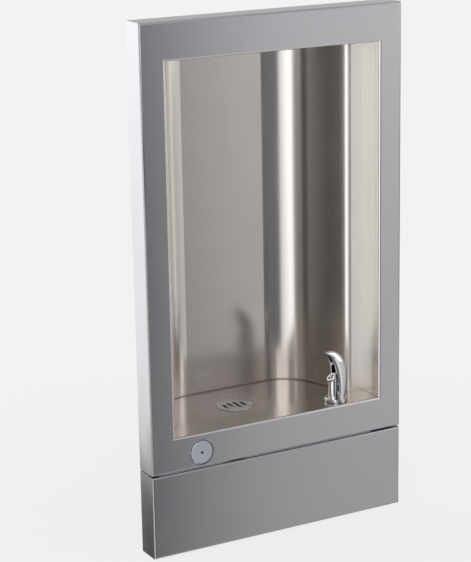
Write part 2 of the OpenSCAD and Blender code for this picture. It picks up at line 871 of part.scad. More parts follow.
spring_steps = spring_turns * spring_rings;
spring_l = spring_end_y - spring_start_y;
spring_route = [
    for (i = [0:spring_steps])
        let (a = 360 * i / spring_rings)
            [spring_r * cos(a), spring_start_y + spring_l * i / spring_steps, spring_r * sin(a)]
];
spring_gap = min([
    for (i = [0:len(spring_route) - 1 - spring_rings]) norm(spring_route[i + spring_rings] - spring_route[i])
]) - 2 * spring_wire_r;
echo("least gap between the spring's turns", spring_gap);

// Spring wound about Y, its wire a tube of triangles
module valve_spring() placed() color("lightgray") at_button() {
    last = len(spring_route) - 1;
    rings = [for (i = [0:last])
        let (out = unit([spring_route[i][0], 0, spring_route[i][2]]))
        [for (k = [0:spring_sides - 1]) let (a = 360 * k / spring_sides)
            spring_route[i] + spring_wire_r * (cos(a) * out + sin(a) * [0, 1, 0])]
    ];
    polyhedron(
        points = [for (ring = rings) each ring],
        faces = concat(
            skin_faces(last + 1, spring_sides),
            [[for (k = [0:spring_sides - 1]) k]],
            [[for (k = [spring_sides - 1:-1:0]) last * spring_sides + k]]
        )
    );
}

module valve_bonnet() placed() color("gold") at_button() {
    difference() {
        translate([0, bonnet_y, 0]) rotate([-90, 0, 0]) cylinder(r = bonnet_r, h = bonnet_l, $fn = hex);
        bar_y(stem_r + hole_gap, bonnet_l + 2 * over, bonnet_y - over);
        bar_y(neck_r + thread_gap, neck_l + seat_gap + over, plate_y - neck_l - seat_gap);
    }
}

// Hat-shaped bracket behind the front, with the valve clamped through its crown
module valve_bracket() placed() color("darkgray") at_button() {
    difference() {
        translate([0, 0, -arm_half_z]) linear_extrude(2 * arm_half_z) {
            translate([-arm_x, plate_y]) square([2 * arm_x, bracket_t]);
            for (side = [0, 1]) {
                mirror([side, 0]) {
                    translate([arm_x - bracket_t, panel_sheet]) {
                        square([bracket_t, plate_y - panel_sheet + bracket_t]);
                        square([foot_l + bracket_t, bracket_t]);
                    }
                }
            }
        }
        bar_y(neck_r + hole_gap, bracket_t + 2 * over, plate_y - over);
    }
}

module valve_body() placed() color("goldenrod") at_button() {
    difference() {
        union() {
            bar_y(valve_r, valve_l, valve_y);
            bar_y(neck_r, neck_l + bracket_t + over, plate_y - neck_l);
            bar_y(inlet_boss_r, inlet_boss_l + over, valve_end_y - over);
            translate([0, port_y, 0]) rotate([0, 90, 0]) cylinder(r = port_r, h = port_l);
        }
        bar_y(stem_r + run_gap, chamber_y - plate_y + neck_l + 2 * over, plate_y - neck_l - over);
        bar_y(chamber_r, inlet_boss_y - chamber_y + over, chamber_y);
        translate([0, port_y, 0]) rotate([0, 90, 0]) cylinder(r = water_r, h = port_l + over);
    }
}

module inlet_fitting() placed() color("gold") at_button() {
    difference() {
        union() {
            bar_y(chamber_r - thread_gap, inlet_boss_l + over, valve_end_y);
            translate([0, inlet_boss_y, 0]) rotate([-90, 0, 0]) {
                cylinder(r = inlet_hex_r, h = inlet_hex_l, $fn = hex);
            }
            bar_y(inlet_r, inlet_l + over, inlet_boss_y + inlet_hex_l - over);
        }
        bar_y(inlet_bore_r, inlet_boss_l + inlet_hex_l + inlet_l + 2 * over, valve_end_y - over);
    }
}

module inlet_screen() placed() color("silver") at_button() {
    difference() {
        bar_y(inlet_bore_r - run_gap, screen_t, inlet_boss_y);
        for (i = [0:hex]) {
            rotate([0, i * 360 / hex, 0]) translate([i == hex ? 0 : inlet_bore_r / 2, 0, 0]) {
                bar_y(screen_hole_r, screen_t + 2 * over, inlet_boss_y - over);
            }
        }
    }
}

module at_waste(z = 0) {
    translate([waste_x, waste_y, z]) children();
}

module waste_body() placed() color([0.7, 0.7, 0.71]) at_waste() {
    rotate_extrude() polygon([
        [strainer_r + seat_gap, waste_top_z], [waste_flange_r - chamfer, waste_top_z],
        [waste_flange_r, waste_top_z - chamfer], [waste_flange_r, waste_seat_z],
        [waste_body_r, waste_seat_z], [waste_body_r, waste_shoulder_z],
        [waste_tail_r, waste_shoulder_z], [waste_tail_r, waste_end_z],
        [waste_bore_r, waste_end_z], [waste_bore_r, waste_shoulder_z],
        [waste_bowl_r, waste_shoulder_z + waste_locknut_h], [waste_bowl_r, strainer_z],
        [strainer_r + seat_gap, strainer_z]
    ]);
}

module waste_strainer() placed() color([0.68, 0.68, 0.69]) at_waste(strainer_z) {
    last = len(slot_length_shares) - 1;
    difference() {
        cylinder(r = strainer_r, h = strainer_t);
        for (i = [0:last]) {
            long = slot_length_shares[i] * strainer_r;
            translate([(i - last / 2) * slot_pitch - slot_w / 2, -long / 2, -over]) {
                cube([slot_w, long, strainer_t + 2 * over]);
            }
        }
    }
}

module waste_gasket() placed() color([0.12, 0.12, 0.12]) at_waste(waste_under_z - waste_gasket_t) {
    ring_z(seat_flat_r, waste_body_r + thread_gap, waste_gasket_t);
}

module waste_washer() placed() color("tan") at_waste(waste_under_z - waste_gasket_t - waste_washer_t) {
    ring_z(waste_flange_r, waste_body_r + thread_gap, waste_washer_t);
}

module waste_locknut() placed() color("gold") at_waste(waste_locknut_z) {
    difference() {
        cylinder(r = waste_locknut_r, h = waste_locknut_h);
        translate([0, 0, -over]) cylinder(r = waste_body_r + thread_gap, h = waste_locknut_h + 2 * over);
        for (i = [0:locknut_notches - 1]) {
            rotate([0, 0, i * 360 / locknut_notches]) {
                translate([waste_locknut_r - notch_deep, -notch_w / 2, -over]) {
                    cube([notch_deep + over, notch_w, waste_locknut_h + 2 * over]);
                }
            }
        }
    }
}

module tailpiece() placed() color("silver") at_waste() {
    difference() {
        union() {
            translate([0, 0, tailpiece_end]) cylinder(r = tailpiece_r, h = tailpiece_neck_z - tailpiece_end);
            translate([0, 0, tailpiece_end]) {
                cylinder(r = tailpiece_r - tailpiece_neck, h = bead_top_z - tailpiece_end);
            }
            translate([0, 0, bead_top_z - tailpiece_bead_t]) {
                cylinder(r = waste_tail_r - over, h = tailpiece_bead_t);
            }
        }
        translate([0, 0, tailpiece_end - over]) {
            cylinder(r = tailpiece_r - tailpiece_wall, h = bead_top_z - tailpiece_end + 2 * over);
        }
    }
}

module tailpiece_washer() placed() color([0.15, 0.15, 0.15]) at_waste(bead_top_z) {
    ring_z(waste_tail_r, tailpiece_r, tailpiece_washer_t);
}

module tailpiece_nut() placed() color([0.8, 0.8, 0.82]) at_waste(tailpiece_nut_z) {
    difference() {
        cylinder(r = tailpiece_nut_r, h = tailpiece_nut_h, $fn = hex);
        translate([0, 0, -over]) cylinder(r = tailpiece_r + seat_gap, h = tailpiece_nut_h);
        translate([0, 0, tailpiece_nut_floor]) cylinder(r = waste_tail_r + thread_gap, h = tailpiece_nut_h);
    }
}

front_panel();
recess_lining();
alcove_wall();
alcove_floor();
alcove_ceiling();
access_panel();
access_panel_screws();
access_panel_nuts();
left_bracket();
right_bracket();
top_bracket();
front_panel_screws();
front_panel_nuts();
bubbler_body();
bubbler_hood();
bubbler_nozzle();
bubbler_gasket();
bubbler_washer();
bubbler_locknut();
bubbler_tube_nut();
supply_tube();
valve_tube_nut();
push_button();
button_bezel();
bezel_nut();
flow_screw();
valve_stem();
stem_seal();
valve_spring();
valve_bonnet();
valve_bracket();
valve_body();
inlet_fitting();
inlet_screen();
waste_body();
waste_strainer();
waste_gasket();
waste_washer();
waste_locknut();
tailpiece();
tailpiece_washer();
tailpiece_nut();
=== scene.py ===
import bpy
import bmesh
import json
import math
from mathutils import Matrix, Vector


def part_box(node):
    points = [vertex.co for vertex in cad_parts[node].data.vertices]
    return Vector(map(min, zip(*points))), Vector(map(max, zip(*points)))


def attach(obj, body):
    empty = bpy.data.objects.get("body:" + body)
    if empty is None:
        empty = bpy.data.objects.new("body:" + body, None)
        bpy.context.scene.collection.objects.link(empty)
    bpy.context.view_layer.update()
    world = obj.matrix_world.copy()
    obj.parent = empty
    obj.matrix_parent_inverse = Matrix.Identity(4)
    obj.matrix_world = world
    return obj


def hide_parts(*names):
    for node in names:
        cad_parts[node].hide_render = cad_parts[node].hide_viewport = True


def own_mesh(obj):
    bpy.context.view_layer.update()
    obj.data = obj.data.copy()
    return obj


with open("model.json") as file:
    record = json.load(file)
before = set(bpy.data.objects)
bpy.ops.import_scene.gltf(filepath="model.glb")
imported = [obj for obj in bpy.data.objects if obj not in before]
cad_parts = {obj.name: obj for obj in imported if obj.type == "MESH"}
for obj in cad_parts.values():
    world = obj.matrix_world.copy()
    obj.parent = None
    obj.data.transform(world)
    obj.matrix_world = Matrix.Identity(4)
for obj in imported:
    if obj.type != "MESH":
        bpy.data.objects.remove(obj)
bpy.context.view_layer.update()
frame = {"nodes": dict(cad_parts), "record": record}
nodes = frame["nodes"]
scene = bpy.context.scene
mm = 0.001


def report(stage):
    print("stage:", stage)


def middle(node):                               # of the box round a CAD node
    low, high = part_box(node)
    return Vector([(low[i] + high[i]) / 2 for i in range(3)])


class Signal:                                   # a node's output socket, with arithmetic
    def __init__(self, finish, socket):
        self.finish = finish
        self.socket = socket

    def combine(self, operation, other, swapped=False):
        pair = [other, self] if swapped else [self, other]
        return self.finish.add("ShaderNodeMath", {"operation": operation}, {0: pair[0], 1: pair[1]})

    def __add__(self, other):
        return self.combine("ADD", other)

    __radd__ = __add__

    def __sub__(self, other):
        return self.combine("SUBTRACT", other)

    def __rsub__(self, other):
        return self.combine("SUBTRACT", other, True)

    def __mul__(self, other):
        return self.combine("MULTIPLY", other)

    __rmul__ = __mul__

    def __truediv__(self, other):
        return self.combine("DIVIDE", other)

    def heading(self, other):
        return self.combine("ARCTAN2", other)

    def least(self, other):
        return self.combine("MINIMUM", other)

    def most(self, other):
        return self.combine("MAXIMUM", other)


class Finish:                                   # a material, or the world, with its nodes
    def __init__(self, name, owner=None):
        self.owner = owner or bpy.data.materials.new(name)
        self.owner.use_nodes = True
        self.tree = self.owner.node_tree
        self.tree.nodes.clear()
        self.spot = None

    def add(self, kind, settings=None, inputs=None, output=0):
        node = self.tree.nodes.new(kind)
        for key, value in (settings or {}).items():
            if key == "stops":
                self.setStops(node.color_ramp, value)
            else:
                setattr(node, key, value)
        for key, value in (inputs or {}).items():
            if isinstance(value, Signal):
                self.tree.links.new(value.socket, node.inputs[key])
            else:
                node.inputs[key].default_value = value
        return Signal(self, node.outputs[output]) if node.outputs else None

    def setStops(self, ramp, stops):
        while len(ramp.elements) < len(stops):
            ramp.elements.new(0.5)
        for element, (position, colour) in zip(ramp.elements, stops):
            element.position = position
            element.color = (*colour, 1)

    def place(self):                            # Object coordinates, in metres
        if self.spot is None:
            self.spot = self.add("ShaderNodeTexCoord", output=3)
        return self.spot

    def axis(self, which):
        parts = self.add("ShaderNodeSeparateXYZ", {}, {0: self.place()})
        return Signal(self, parts.socket.node.outputs["XYZ".index(which)])

    def stretched(self, scale):
        return self.add("ShaderNodeMapping", {}, {"Vector": self.place(), "Scale": scale})

    def noise(self, scale, stretch=(1, 1, 1), detail=3, rough=0.5):
        return self.add("ShaderNodeTexNoise", {}, {
            "Vector": self.stretched(stretch), "Scale": scale, "Detail": detail, "Roughness": rough})

    def ramp(self, value, stops):
        return self.add("ShaderNodeValToRGB", {"stops": stops}, {0: value})

    def between(self, mask, first, second):     # colours mixed by a mask
        mix = self.add("ShaderNodeMix", {"data_type": "RGBA"}, {0: mask}, output=2)
        for index, value in ((6, first), (7, second)):
            if isinstance(value, Signal):
                self.tree.links.new(value.socket, mix.socket.node.inputs[index])
            else:
                mix.socket.node.inputs[index].default_value = (*value, 1)
        return mix

    def smoothStep(self, value, low, high):
        return self.add("ShaderNodeMapRange", {"interpolation_type": "SMOOTHSTEP"},
                        {"Value": value, "From Min": low, "From Max": high})

    def bump(self, height, distance, strength=1.0, under=None):
        inputs = {"Height": height, "Distance": distance, "Strength": strength}
        if under is not None:
            inputs["Normal"] = under
        return self.add("ShaderNodeBump", {}, inputs)

    def surface(self, **inputs):
        sockets = {key.replace("_", " "): value for key, value in inputs.items()}
        shader = self.add("ShaderNodeBsdfPrincipled", {}, sockets)
        self.add("ShaderNodeOutputMaterial", {}, {"Surface": shader})
        return self.owner


waterMarks = {"at": middle("waste_strainer"), "reach": 0.075, "inner": 0.6, "colour": (0.66, 0.64, 0.61),
              "edge": {"scale": 55, "detail": 4, "rough": 0.6}, "ragged": 0.03,
              "speck": {"scale": 420, "detail": 2, "rough": 0.6}, "speckFrom": 0.58, "speckTo": 0.66,
              "speckShare": 0.22, "evenShare": 0.14, "rough": 0.12}


def waterMarked(f, colour, rough, marks):       # a ragged ring of specks round the waste
    away = f.add("ShaderNodeVectorMath", {"operation": "DISTANCE"}, {0: f.place(), 1: marks["at"]}, output=1)
    ragged = away + (f.noise(**marks["edge"]) - 0.5) * marks["ragged"]
    ring = f.smoothStep(ragged, marks["reach"], marks["reach"] * marks["inner"])
    specks = f.smoothStep(f.noise(**marks["speck"]), marks["speckFrom"], marks["speckTo"])
    colour = f.between(ring * (specks * marks["speckShare"] + marks["evenShare"]), colour, marks["colour"])
    return colour, rough + ring * specks * marks["rough"]


bandForm = {"edge": {"scale": 9, "stretch": (1, 1, 0.4), "rough": 0.6}, "cloudShare": 0.5, "evenShare": 0.55,
            "endStep": 0.0008}


def seamOrPaintedBand(f, colour, rough, cloud, overlay):      # a band of other colour on one side of a plane: painted light at the alcove's fold, painted shade on its left, a dark seam above the floor and a darker band at the ledge
    along = f.axis(overlay["axis"])
    spread = along + (f.noise(**bandForm["edge"]) - 0.5) * overlay["ragged"]
    uneven = cloud * bandForm["cloudShare"] + bandForm["evenShare"]
    mask = f.smoothStep(spread, overlay["from"], overlay["to"]) * uneven
    if "end" in overlay:
        mask = mask * f.smoothStep(along, overlay["end"] - bandForm["endStep"], overlay["end"])
    return f.between(mask, colour, overlay["colour"]), rough + mask * overlay["rough"]


def waved(f, normal, wave):                     # narrow returns never come out quite flat
    fromMiddle = f.axis("X").most(f.axis("X") * -1.0)
    atEdge = f.smoothStep(fromMiddle, wave["from"], wave["to"])
    return f.bump(f.noise(**wave["ripple"]) * atEdge, wave["depth"], under=normal)


brush = {"stretch": {"X": (1.5, 240, 240), "Z": (240, 240, 1.5)},
         "coarse": {"scale": 14, "rough": 0.6}, "fine": {"scale": 30, "detail": 2}, "relief": 0.5,
         "smear": {"scale": 26, "stretch": (1, 1, 0.3), "detail": 4, "rough": 0.6},
         "smearFrom": 0.52, "smearTo": 0.72, "smearTone": 0.05, "smearRough": 0.03, "fineRough": 0.10,
         "leastRough": 0.05}


def brushedSteel(name, look):
    f = Finish(name)
    stretch = brush["stretch"][look["grain"]]
    grain = f.noise(stretch=stretch, **brush["coarse"])
    fine = f.noise(stretch=stretch, **brush["fine"])
    cloud = f.noise(look["cloudScale"])
    rubbed = f.smoothStep(f.noise(**brush["smear"]), brush["smearFrom"], brush["smearTo"])
    tone = (grain - 0.5) * look["grainTone"] + (cloud - 0.5) * look["cloudTone"]
    colour = f.between(tone + rubbed * brush["smearTone"] + 0.5, look["dark"], look["light"])
    rough = (cloud - 0.5) * look["roughCloud"] + (fine - 0.5) * brush["fineRough"]
    rough = rough + rubbed * brush["smearRough"] + look["rough"]
    if "marks" in look:
        colour, rough = waterMarked(f, colour, rough, look["marks"])
    for overlay in look.get("films", []):
        colour, rough = seamOrPaintedBand(f, colour, rough, cloud, overlay)
    normal = f.bump((grain + fine) * 0.5, look["grainDepth"], brush["relief"])
    if "wave" in look:
        normal = waved(f, normal, look["wave"])
    rough = rough.most(brush["leastRough"])
    return f.surface(Base_Color=colour, Metallic=1.0, Roughness=rough, Normal=normal)


plating = {"spot": {"detail": 4, "rough": 0.6}, "wearFrom": 0.55, "wearTo": 0.75,
           "overlay": {"scale": 60, "stretch": (1, 1, 0.4)}, "filmRough": 0.05, "filmDepth": 0.00003,
           "relief": 0.4}


def chrome(name, look):
    f = Finish(name)
    overlay = f.noise(**plating["overlay"])
    wear = f.smoothStep(f.noise(look["spotScale"], **plating["spot"]), plating["wearFrom"], plating["wearTo"])
    colour = f.between(wear, look["colour"], look["worn"])
    rough = wear * look["roughWorn"] + overlay * plating["filmRough"] + look["rough"]
    normal = f.bump(overlay, plating["filmDepth"], plating["relief"])
    return f.surface(Base_Color=colour, Metallic=1.0, Roughness=rough, Normal=normal)


turning = {"cloud": {"scale": 90, "detail": 4, "rough": 0.6}, "tarnishFrom": 0.45, "tarnishTo": 0.7,
           "tarnishRough": 0.2, "pits": {"scale": 900, "detail": 2}, "pitRough": 0.1, "pitDepth": 0.00006,
           "relief": 0.5}


def turnedMetal(name, look):
    f = Finish(name)
    pits = f.noise(**turning["pits"])
    tarnish = f.smoothStep(f.noise(**turning["cloud"]), turning["tarnishFrom"], turning["tarnishTo"])
    colour = f.between(tarnish, look["colour"], look["tarnish"])
    rough = tarnish * turning["tarnishRough"] + pits * turning["pitRough"] + look["rough"]
    normal = f.bump(pits, turning["pitDepth"], turning["relief"])
    return f.surface(Base_Color=colour, Metallic=1.0, Roughness=rough, Normal=normal)


zincCoat = {"cellScale": 90, "cellRough": 0.18, "fine": {"scale": 700, "detail": 2}, "fineRough": 0.06,
            "fineDepth": 0.00005, "relief": 0.4}


def galvanised(name, look):
    f = Finish(name)
    cells = f.add("ShaderNodeTexVoronoi", {}, {
        "Vector": f.stretched((1, 1, 1)), "Scale": zincCoat["cellScale"]}, output=1)
    grey = f.add("ShaderNodeSeparateColor", {}, {0: cells})
    fine = f.noise(**zincCoat["fine"])
    colour = f.between(grey, look["dark"], look["light"])
    rough = grey * zincCoat["cellRough"] + fine * zincCoat["fineRough"] + look["rough"]
    normal = f.bump(fine, zincCoat["fineDepth"], zincCoat["relief"])
    return f.surface(Base_Color=colour, Metallic=1.0, Roughness=rough, Normal=normal)


moulding = {"grit": {"scale": 1400, "rough": 0.6}, "gritRough": 0.15, "gritDepth": 0.00008, "relief": 0.6,
            "cloudScale": 70}


def moulded(name, look):
    f = Finish(name)
    grit = f.noise(**moulding["grit"])
    colour = f.between(f.noise(moulding["cloudScale"]), look["dark"], look["light"])
    rough = grit * moulding["gritRough"] + look["rough"]
    normal = f.bump(grit, moulding["gritDepth"], moulding["relief"])
    return f.surface(Base_Color=colour, Metallic=0.0, Roughness=rough, Normal=normal)


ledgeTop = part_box("bubbler_gasket")[0][2]       # the gasket lies on the ledge
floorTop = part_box("alcove_floor")[1][2]
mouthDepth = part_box("alcove_wall")[0][1]
# darker and browner on the lining in a thin band at the ledge's height, over the ledge's top face
ledgeDarkBand = {"axis": "Z", "from": ledgeTop + 0.0012, "to": ledgeTop + 0.0004, "ragged": 0.0004,
             "end": ledgeTop - 0.0003, "colour": (0.36, 0.315, 0.275), "rough": 0.04}
leftPaintedShade = {"axis": "X", "from": -0.080, "to": -0.104, "ragged": 0.02,    # painted shade: the alcove wall darkened towards its left corner and splay
              "colour": (0.37, 0.36, 0.35), "rough": 0.1}
seamFilm = {"axis": "Z", "from": floorTop + 0.0024, "to": floorTop + 0.0012, "ragged": 0.001,
            "colour": (0.27, 0.24, 0.225), "rough": 0.12}
foldPaintedLight = {"axis": "Y", "from": mouthDepth + 0.016, "to": mouthDepth + 0.004, "ragged": 0.001,
            "colour": (0.90, 0.865, 0.825), "rough": 0.22}                  # painted light: the alcove wall lightened along its front fold
returnWave = {"from": 0.2125, "to": 0.2145, "depth": 0.0026,
              "ripple": {"scale": 10, "stretch": (0.2, 1.6, 0.6), "detail": 1, "rough": 0.4}}
steelLooks = {
    "front_steel": {
        "dark": (0.47, 0.465, 0.48), "light": (0.60, 0.595, 0.61),
        "grain": "X", "grainTone": 0.35, "grainDepth": 0.000008, "cloudScale": 4, "cloudTone": 0.5,
        "rough": 0.15, "roughCloud": 0.05, "wave": returnWave},
    "access_steel": {
        "dark": (0.44, 0.44, 0.455), "light": (0.58, 0.58, 0.595),
        "grain": "X", "grainTone": 0.35, "grainDepth": 0.000008, "cloudScale": 5, "cloudTone": 0.5,
        "rough": 0.16, "roughCloud": 0.05, "wave": {**returnWave, "depth": 0.0008}},
    # painted light: the lining gets a much lighter steel colour than the front, so its jambs and bends render
    # brighter
    "lining_steel": {
        "dark": (0.70, 0.69, 0.67), "light": (0.86, 0.845, 0.825),
        "grain": "X", "grainTone": 0.35, "grainDepth": 0.000006, "cloudScale": 7, "cloudTone": 0.4,
        "rough": 0.20, "roughCloud": 0.06, "films": [ledgeDarkBand]},
    "alcove_steel": {
        "dark": (0.61, 0.585, 0.555), "light": (0.72, 0.69, 0.66),
        "grain": "Z", "grainTone": 0.3, "grainDepth": 0.000004, "cloudScale": 5, "cloudTone": 0.4,
        "rough": 0.19, "roughCloud": 0.05, "films": [leftPaintedShade, seamFilm, foldPaintedLight]},
    "floor_steel": {
        "dark": (0.38, 0.332, 0.305), "light": (0.50, 0.445, 0.415),
        "grain": "X", "grainTone": 0.3, "grainDepth": 0.000006, "cloudScale": 8, "cloudTone": 0.4,
        "rough": 0.19, "roughCloud": 0.06, "marks": waterMarks},
    "ceiling_steel": {
        "dark": (0.46, 0.45, 0.44), "light": (0.60, 0.59, 0.58),
        "grain": "X", "grainTone": 0.3, "grainDepth": 0.000006, "cloudScale": 7, "cloudTone": 0.4,
        "rough": 0.22, "roughCloud": 0.06},
    "button_metal": {
        "dark": (0.58, 0.61, 0.68), "light": (0.72, 0.76, 0.83),
        "grain": "X", "grainTone": 0.5, "grainDepth": 0.00001, "cloudScale": 60, "cloudTone": 0.3,
        "rough": 0.42, "roughCloud": 0.08},
    "waste_steel": {
        "dark": (0.52, 0.51, 0.50), "light": (0.68, 0.67, 0.655),
        "grain": "X", "grainTone": 0.4, "grainDepth": 0.000006, "cloudScale": 40, "cloudTone": 0.3,
        "rough": 0.22, "roughCloud": 0.08},
    "screw_steel": {
        "dark": (0.50, 0.50, 0.50), "light": (0.68, 0.68, 0.68),
        "grain": "X", "grainTone": 0.4, "grainDepth": 0.00001, "cloudScale": 120, "cloudTone": 0.3,
        "rough": 0.25, "roughCloud": 0.1},
    "spring_steel": {
        "dark": (0.46, 0.46, 0.47), "light": (0.62, 0.62, 0.63),
        "grain": "X", "grainTone": 0.4, "grainDepth": 0.00001, "cloudScale": 120, "cloudTone": 0.3,
        "rough": 0.28, "roughCloud": 0.1},
    "screen_steel": {
        "dark": (0.42, 0.42, 0.43), "light": (0.56, 0.56, 0.57),
        "grain": "X", "grainTone": 0.4, "grainDepth": 0.00001, "cloudScale": 120, "cloudTone": 0.3,
        "rough": 0.34, "roughCloud": 0.1},
}
chromeLooks = {
    "bubbler_chrome": {
        "colour": (0.70, 0.71, 0.74), "worn": (0.62, 0.62, 0.64), "rough": 0.05, "roughWorn": 0.06,
        "spotScale": 140},
    "nozzle_chrome": {
        "colour": (0.50, 0.49, 0.47), "worn": (0.40, 0.39, 0.37), "rough": 0.16, "roughWorn": 0.12,
        "spotScale": 220},
    "bezel_chrome": {
        "colour": (0.40, 0.40, 0.42), "worn": (0.34, 0.34, 0.35), "rough": 0.10, "roughWorn": 0.12,
        "spotScale": 160},
    "tail_chrome": {
        "colour": (0.74, 0.74, 0.75), "worn": (0.55, 0.55, 0.54), "rough": 0.09, "roughWorn": 0.16,
        "spotScale": 60},
}
turnedLooks = {
    "brass": {"colour": (0.72, 0.52, 0.25), "tarnish": (0.50, 0.35, 0.18), "rough": 0.24},
    "tube_copper": {"colour": (0.76, 0.42, 0.27), "tarnish": (0.48, 0.26, 0.17), "rough": 0.24},
}
galvanisedLooks = {
    "bracket_steel": {"dark": (0.44, 0.45, 0.47), "light": (0.62, 0.63, 0.65), "rough": 0.30},
    "nut_steel": {"dark": (0.50, 0.50, 0.51), "light": (0.66, 0.66, 0.67), "rough": 0.28},
}
mouldedLooks = {
    "gasket_rubber": {"dark": (0.018, 0.018, 0.018), "light": (0.035, 0.035, 0.036), "rough": 0.6},
    "fibre": {"dark": (0.33, 0.23, 0.15), "light": (0.47, 0.35, 0.24), "rough": 0.7},
}
materials = {}
for make, looks in ((brushedSteel, steelLooks), (chrome, chromeLooks), (turnedMetal, turnedLooks),
                    (galvanised, galvanisedLooks), (moulded, mouldedLooks)):
    for name, look in looks.items():
        materials[name] = make(name, look)
slotOfNode = {row["node"]: row["material_slot"] for row in frame["record"]["subparts"]}
for name, node in nodes.items():
    node.data.materials.clear()
    node.data.materials.append(materials[slotOfNode[name]])
report("finishes")

weldDistance = 0.000001


def newPiece(name, shape, body, slot, *replaced):
    bmesh.ops.remove_doubles(shape, verts=shape.verts, dist=weldDistance)
    bmesh.ops.recalc_face_normals(shape, faces=shape.faces)
    for face in shape.faces:
        face.smooth = True
    mesh = bpy.data.meshes.new(name)
    shape.to_mesh(mesh)
    shape.free()
    piece = bpy.data.objects.new(name, mesh)
    scene.collection.objects.link(piece)
    mesh.materials.append(materials[slot])
    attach(piece, body)
    if replaced:
        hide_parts(*replaced)
    return piece


def loft(shape, sections):                      # closed sections joined one to the next, both ends filled
    last = None
    for number, section in enumerate(sections):
        ring = bmesh.ops.create_circle(shape, segments=len(section), radius=mm)["verts"]
        for vert, spot in zip(ring, section):
            vert.co = spot
        edges = list({edge for vert in ring for edge in vert.link_edges})
        if number in (0, len(sections) - 1):
            bmesh.ops.contextual_create(shape, geom=edges)
        if last:
            bmesh.ops.bridge_loops(shape, edges=last + edges)
        last = edges


def bezier(points, share):                      # four numbers or four vectors
    rest = 1 - share
    weights = (rest ** 3, 3 * share * rest ** 2, 3 * share ** 2 * rest, share ** 3)
    parts = [point * weight for point, weight in zip(points, weights)]
    return sum(parts[1:], parts[0])


def tubeSections(route, radius, sides, outward):
    sections = []
    for i, spot in enumerate(route):
        way = (route[min(i + 1, len(route) - 1)] - route[max(i - 1, 0)]).normalized()
        out = outward(spot, way).normalized()
        side = out.cross(way)
        turns = [2 * math.pi * k / sides for k in range(sides)]
        sections.append([spot + radius * (math.cos(a) * out + math.sin(a) * side) for a in turns])
    return sections


# Curves and width in shares of the flange's radius, heights in shares of the height
hoodLook = {"height": 74.8 * mm, "wall": 3.4 * mm, "sideWall": 0.7, "steps": 56, "points": 26,
            "crest": [(0.78, 0), (1.7, 0.7), (0.46, 1.06), (-1.2, 0.99)],
            "edge": [(0, 0), (-0.05, 0.26), (0, 0.8), (-1, 0.96)],
            "width": [0.9, 0.6, 0.47, 0.22], "wallShares": [1, 1, 0.8, 0.5],
            "softEdge": 0.7 * mm, "softSteps": 4, "softAngle": 38}


def bubblerHood(look):                          # curved guard over the nozzle, a crescent in section
    low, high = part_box("bubbler_body")
    base = (high[0] - low[0]) / 2
    centre = middle("bubbler_body")
    foot = Vector((centre.x, centre.y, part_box("bubbler_hood")[0][2]))
    crestPoints, edgePoints = [[Vector(point) for point in look[line]] for line in ("crest", "edge")]
    angles = [math.pi * i / look["points"] - math.pi / 2 for i in range(look["points"] + 1)]
    sections = []
    for step in range(look["steps"] + 1):
        share = step / look["steps"]
        crest, edge = [Vector((at.x * base, at.y * look["height"])) for at in
                       (bezier(crestPoints, share), bezier(edgePoints, share))]
        half = bezier(look["width"], share) * base
        wall = bezier(look["wallShares"], share) * look["wall"]
        innerHalf = half - wall * look["sideWall"]
        deep = (crest - edge).length
        way = (crest - edge).normalized()
        outer = [(edge + way * deep * math.cos(a), half * math.sin(a)) for a in angles]
        inner = [(edge + way * (deep - wall) * math.cos(a), innerHalf * math.sin(a)) for a in angles[::-1]]
        sections.append([foot + Vector((flat.x, across, flat.y)) for flat, across in outer + inner])
    shape = bmesh.new()
    loft(shape, sections)
    piece = newPiece("bubblerHoodShell", shape, "fountain", "bubbler_chrome", "bubbler_hood")
    soft = piece.modifiers.new("softEdge", "BEVEL")
    soft.width = look["softEdge"]
    soft.segments = look["softSteps"]
    soft.limit_method = "ANGLE"
    soft.angle_limit = math.radians(look["softAngle"])


tubeLook = {"radius": 3.175 * mm, "swerve": 60 * mm, "sides": 28, "bendSteps": 18, "swerveSteps": 40}


def supplyTube(look):                           # from the bubbler's tail, round a bend, across to the valve
    low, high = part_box("supply_tube")
    upper, nut = middle("bubbler_tube_nut"), middle("valve_tube_nut")
    runHeight = low[2] + look["radius"]
    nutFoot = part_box("bubbler_tube_nut")[0][2]
    bend = nutFoot - runHeight
    near = Vector((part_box("valve_tube_nut")[1][0] + bend, nut.y, nut.z))
    far = Vector((near.x + look["swerve"], upper.y, runHeight))
    half = Vector((look["swerve"] / 2, 0, 0))
    route = [Vector((upper.x, upper.y, high[2]))]
    for i in range(look["bendSteps"] + 1):
        a = math.pi / 2 * i / look["bendSteps"]
        route.append(Vector((upper.x - bend + bend * math.cos(a), upper.y, nutFoot - bend * math.sin(a))))
    route += [bezier([far, far - half, near + half, near], i / look["swerveSteps"])
              for i in range(look["swerveSteps"] + 1)]
    route.append(Vector((low[0], nut.y, nut.z)))
    sections = tubeSections(route, look["radius"], look["sides"],
                            lambda spot, way: way.cross(Vector((0, 1, 0))))
    shape = bmesh.new()
    loft(shape, sections)
    newPiece("supplyTubeBent", shape, "fountain", "tube_copper", "supply_tube")


springLook = {"wire": 0.8 * mm, "turns": 4, "rings": 26, "sides": 12, "keep": 0.757}


def valveSpring(look):                          # one unbroken coil
    low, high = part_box("valve_spring")
    wire = look["wire"]
    radius = (high[0] - low[0]) / 2 - wire
    heart = middle("push_button")
    start, end = low[1] + wire, high[1] - wire
    steps = look["turns"] * look["rings"]
    route = []
    for i in range(steps + 1):
        a = 2 * math.pi * i / look["rings"]
        route.append(Vector((heart.x + radius * math.cos(a), start + (end - start) * i / steps,
                             heart.z + radius * math.sin(a))))
    sections = tubeSections(route, wire, look["sides"],
                            lambda spot, way: spot - Vector((heart.x, spot.y, heart.z)))
    shape = bmesh.new()
    loft(shape, sections)
    piece = newPiece("valveSpringCoil", shape, "fountain", "spring_steel", "valve_spring")
    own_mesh(piece)


threadForm = {"root": 0.1, "sides": 56}


